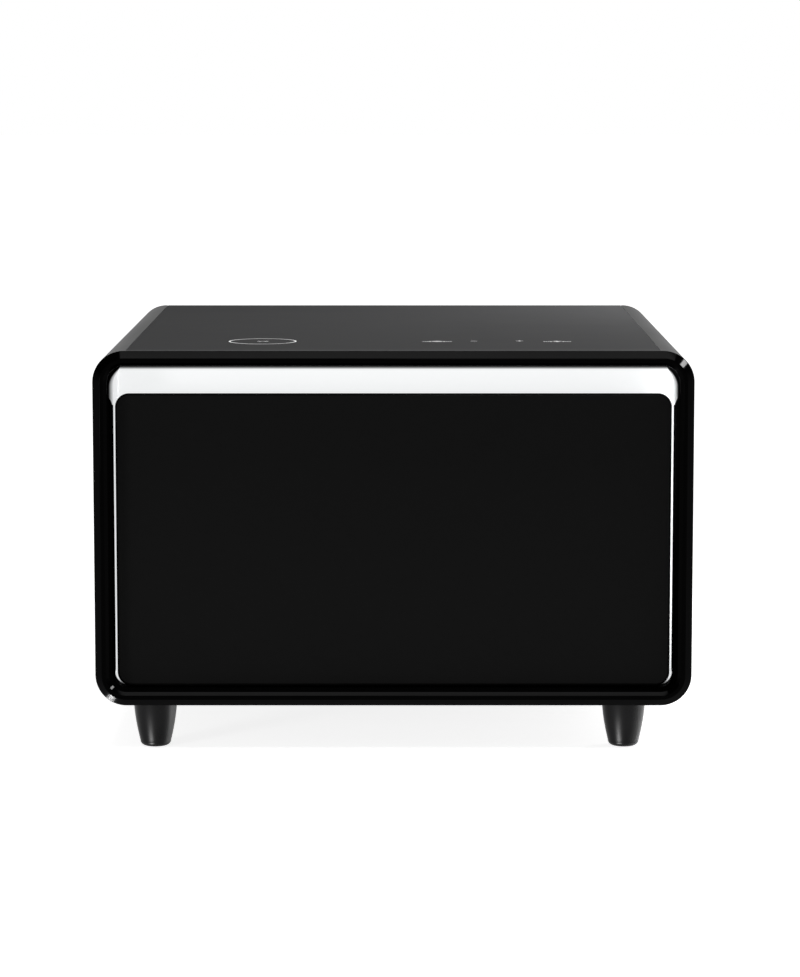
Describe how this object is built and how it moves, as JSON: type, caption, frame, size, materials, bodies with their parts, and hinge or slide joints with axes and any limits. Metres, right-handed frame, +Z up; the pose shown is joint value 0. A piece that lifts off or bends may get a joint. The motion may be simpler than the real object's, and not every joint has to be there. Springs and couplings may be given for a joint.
{
  "type": "smart side table with fridge",
  "caption": "Low side table on turned feet with a glass touch top, a chamfered gloss frame with a lit recess, and an insulated fridge drawer that slides out.",
  "frame": {"origin": "on the floor, under the middle of the table's box", "axes": "+X to the right seen from the front, +Y from the front to the back, +Z up; the drawer opens towards -Y"},
  "size_m": [0.65, 0.702, 0.4424],
  "materials": {
    "frame_gloss": "piano black, mirror gloss",
    "shell_paint": "black powder coat, satin",
    "top_glass": "back-painted black tempered glass",
    "door_glass": "back-painted black tempered glass",
    "opal": "opal white, lit",
    "white_plastic": "white food-grade plastic",
    "foam": "rigid polyurethane foam",
    "bin_plastic": "grey plastic",
    "zinc_steel": "zinc plated steel",
    "aluminium": "plain aluminium",
    "copper": "copper",
    "rubber": "soft black rubber",
    "foot_black": "satin black lacquer",
    "machine_black": "black enamel",
    "black_plastic": "black moulded plastic",
    "board": "green circuit board",
    "ferrite": "dark ferrite"
  },
  "bodies": {
    "cabinet": {"front_frame": "frame_gloss", "cabinet_shell": "shell_paint", "top_glass": "top_glass", "top_deck": "black_plastic", "touch_control_board": "board", "charging_ferrite_plate": "ferrite", "wireless_charging_coil": "copper", "light_diffuser": "opal", "light_housing": "white_plastic", "led_strip": "opal", "inner_liner": "white_plastic", "insulation_foam": "foam", "evaporator_plate": "aluminium", "interior_lamp": "opal", "temperature_probe": "white_plastic", "rear_panel": "shell_paint", "rear_vent_grille": "black_plastic", "power_inlet": "black_plastic", "rear_screw_1": "zinc_steel", "rear_screw_2": "zinc_steel", "rear_screw_3": "zinc_steel", "rear_screw_4": "zinc_steel", "rear_screw_5": "zinc_steel", "rear_screw_6": "zinc_steel", "foot_front_left": "foot_black", "foot_front_right": "foot_black", "foot_rear_left": "foot_black", "foot_rear_right": "foot_black", "foot_pad_front_left": "rubber", "foot_pad_front_right": "rubber", "foot_pad_rear_left": "rubber", "foot_pad_rear_right": "rubber", "base_plate": "zinc_steel", "compressor": "machine_black", "compressor_mount_1": "rubber", "compressor_mount_2": "rubber", "compressor_mount_3": "rubber", "compressor_mount_4": "rubber", "condenser": "aluminium", "fan_housing": "black_plastic", "filter_dryer": "copper", "discharge_pipe": "copper", "liquid_pipe": "copper", "suction_pipe": "copper", "control_board": "board", "cabinet_rail_left": "zinc_steel", "cabinet_rail_right": "zinc_steel"},
    "drawer": {"drawer_front_glass": "door_glass", "drawer_front_carrier": "frame_gloss", "drawer_front_core": "white_plastic", "drawer_gasket": "rubber", "drawer_inner_panel": "white_plastic", "drawer_bin": "bin_plastic", "drawer_rail_left": "zinc_steel", "drawer_rail_right": "zinc_steel"},
    "middle_rails": {"middle_rail_left": "zinc_steel", "middle_rail_right": "zinc_steel"},
    "fan": {"fan_rotor": "black_plastic"}
  },
  "joints": [
    {"name": "drawer_slide", "type": "slide", "parent": "cabinet", "child": "drawer", "axis": [0, -1, 0], "range_m": [0, 0.36]},
    {"name": "middle_rail_slide", "type": "slide", "parent": "cabinet", "child": "middle_rails", "axis": [0, -1, 0], "range_m": [0, 0.18]},
    {"name": "fan_spin", "type": "hinge", "parent": "cabinet", "child": "fan", "pos_m": [0.05, 0.2862, 0.1042], "axis": [0, 1, 0], "continuous": true}
  ],
  "couplings": [
    {"joint": "middle_rail_slide", "follows": "drawer_slide", "ratio": 0.5}
  ]
}
